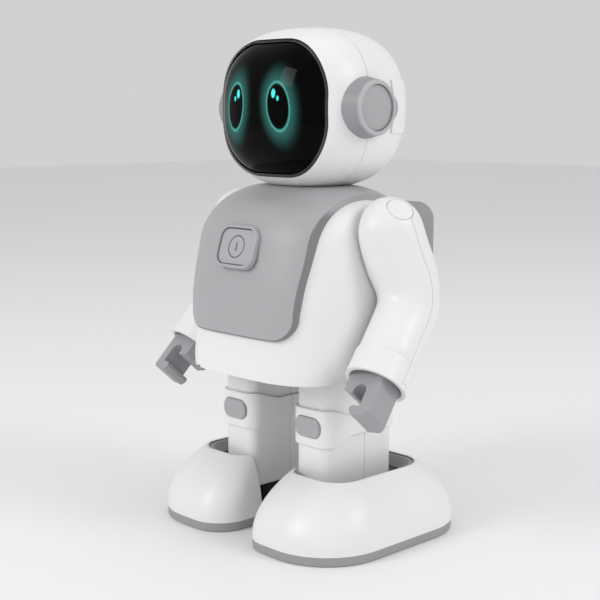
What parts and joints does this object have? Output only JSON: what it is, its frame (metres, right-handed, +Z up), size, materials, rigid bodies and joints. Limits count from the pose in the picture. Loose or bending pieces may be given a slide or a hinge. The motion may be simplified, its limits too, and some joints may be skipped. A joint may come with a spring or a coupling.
{
  "type": "humanoid desk robot",
  "caption": "Walking desk robot with a domed visor head, grey chest plate with a push button, gripping hands, backpack and large feet; head, arms, hands, hips and ankles turn.",
  "frame": {"origin": "on the floor, under the middle of the robot's bounding box", "axes": "+Z up, the robot faces -Y, +X is the robot's own left"},
  "size_m": [0.1702, 0.128, 0.262],
  "materials": {
    "white_shell": "satin white moulded plastic",
    "grey_plate": "satin light grey moulded plastic",
    "grey_trim": "satin mid grey moulded plastic",
    "hand_grey": "satin grey moulded plastic",
    "visor_black": "high gloss black lens",
    "bezel_dark": "dark grey gloss trim",
    "sole_grey": "matt grey rubber",
    "inner_dark": "matt dark internal plastic",
    "circuit": "green circuit board",
    "steel": "zinc plated steel",
    "servo_black": "matt black servo casing",
    "battery_wrap": "shrink wrapped battery"
  },
  "bodies": {
    "torso": {"torso_front_shell": "white_shell", "torso_rear_shell": "white_shell", "base_plate": "inner_dark", "base_screws": "steel", "chest_plate": "grey_plate", "button_bezel": "grey_plate", "main_board": "circuit", "power_switch": "steel", "chassis": "inner_dark", "neck_servo": "servo_black", "battery_pack": "battery_wrap", "backpack_shell": "grey_trim", "backpack_cover": "grey_trim", "loudspeaker": "inner_dark", "charge_port": "steel", "left_shoulder_servo": "servo_black", "right_shoulder_servo": "servo_black", "left_hip_servo": "servo_black", "right_hip_servo": "servo_black"},
    "power_button": {"power_button": "grey_plate"},
    "head": {"head_front_shell": "white_shell", "head_rear_shell": "white_shell", "head_rear_band": "white_shell", "visor_lens": "visor_black", "visor_bezel": "bezel_dark", "display_board": "circuit", "neck_shaft": "inner_dark", "left_ear_housing": "grey_trim", "right_ear_housing": "grey_trim", "left_ear_cap": "grey_plate", "right_ear_cap": "grey_plate"},
    "left_arm": {"left_arm_front_shell": "white_shell", "left_arm_rear_shell": "white_shell", "left_shoulder_cap": "white_shell", "left_shoulder_hub": "inner_dark"},
    "left_hand": {"left_hand": "hand_grey"},
    "left_leg": {"left_leg_front_shell": "white_shell", "left_leg_rear_shell": "white_shell", "left_knee_pad": "grey_plate", "left_hip_bracket": "inner_dark", "left_ankle_yoke": "inner_dark"},
    "left_foot": {"left_foot_shell": "white_shell", "left_foot_liner": "grey_trim", "left_foot_sole": "sole_grey", "left_ankle_servo": "servo_black"},
    "right_arm": {"right_arm_front_shell": "white_shell", "right_arm_rear_shell": "white_shell", "right_shoulder_cap": "white_shell", "right_shoulder_hub": "inner_dark"},
    "right_hand": {"right_hand": "hand_grey"},
    "right_leg": {"right_leg_front_shell": "white_shell", "right_leg_rear_shell": "white_shell", "right_knee_pad": "grey_plate", "right_hip_bracket": "inner_dark", "right_ankle_yoke": "inner_dark"},
    "right_foot": {"right_foot_shell": "white_shell", "right_foot_liner": "grey_trim", "right_foot_sole": "sole_grey", "right_ankle_servo": "servo_black"}
  },
  "joints": [
    {"name": "head_yaw", "type": "hinge", "parent": "torso", "child": "head", "pos_m": [0, -0.0035, 0.18], "axis": [0, 0, 1], "range_deg": [-60, 60]},
    {"name": "power_button_press", "type": "slide", "parent": "torso", "child": "power_button", "axis": [0, 0.9511, -0.309], "range_m": [0, 0.0015], "stiffness_N_per_m": 600},
    {"name": "left_shoulder_pitch", "type": "hinge", "parent": "torso", "child": "left_arm", "pos_m": [0.054, -0.003, 0.157], "axis": [-1, 0, 0], "range_deg": [-30, 120]},
    {"name": "left_wrist_twist", "type": "hinge", "parent": "left_arm", "child": "left_hand", "pos_m": [0.06951, -0.02829, 0.08815], "axis": [-0.112, 0.6586, 0.7442], "range_deg": [-45, 45]},
    {"name": "left_hip_yaw", "type": "hinge", "parent": "torso", "child": "left_leg", "pos_m": [0.0281, -0.0065, 0.09], "axis": [0, 0, 1], "range_deg": [-6, 8]},
    {"name": "left_ankle_roll", "type": "hinge", "parent": "left_leg", "child": "left_foot", "pos_m": [0.0281, -0.0065, 0.015], "axis": [0, 1, 0], "range_deg": [-8, 8]},
    {"name": "right_shoulder_pitch", "type": "hinge", "parent": "torso", "child": "right_arm", "pos_m": [-0.054, -0.003, 0.157], "axis": [-1, 0, 0], "range_deg": [-30, 120]},
    {"name": "right_wrist_twist", "type": "hinge", "parent": "right_arm", "child": "right_hand", "pos_m": [-0.06951, -0.02829, 0.08815], "axis": [-0.112, -0.6586, -0.7442], "range_deg": [-45, 45]},
    {"name": "right_hip_yaw", "type": "hinge", "parent": "torso", "child": "right_leg", "pos_m": [-0.0281, -0.0065, 0.09], "axis": [0, 0, -1], "range_deg": [-6, 8]},
    {"name": "right_ankle_roll", "type": "hinge", "parent": "right_leg", "child": "right_foot", "pos_m": [-0.0281, -0.0065, 0.015], "axis": [0, -1, 0], "range_deg": [-8, 8]}
  ]
}
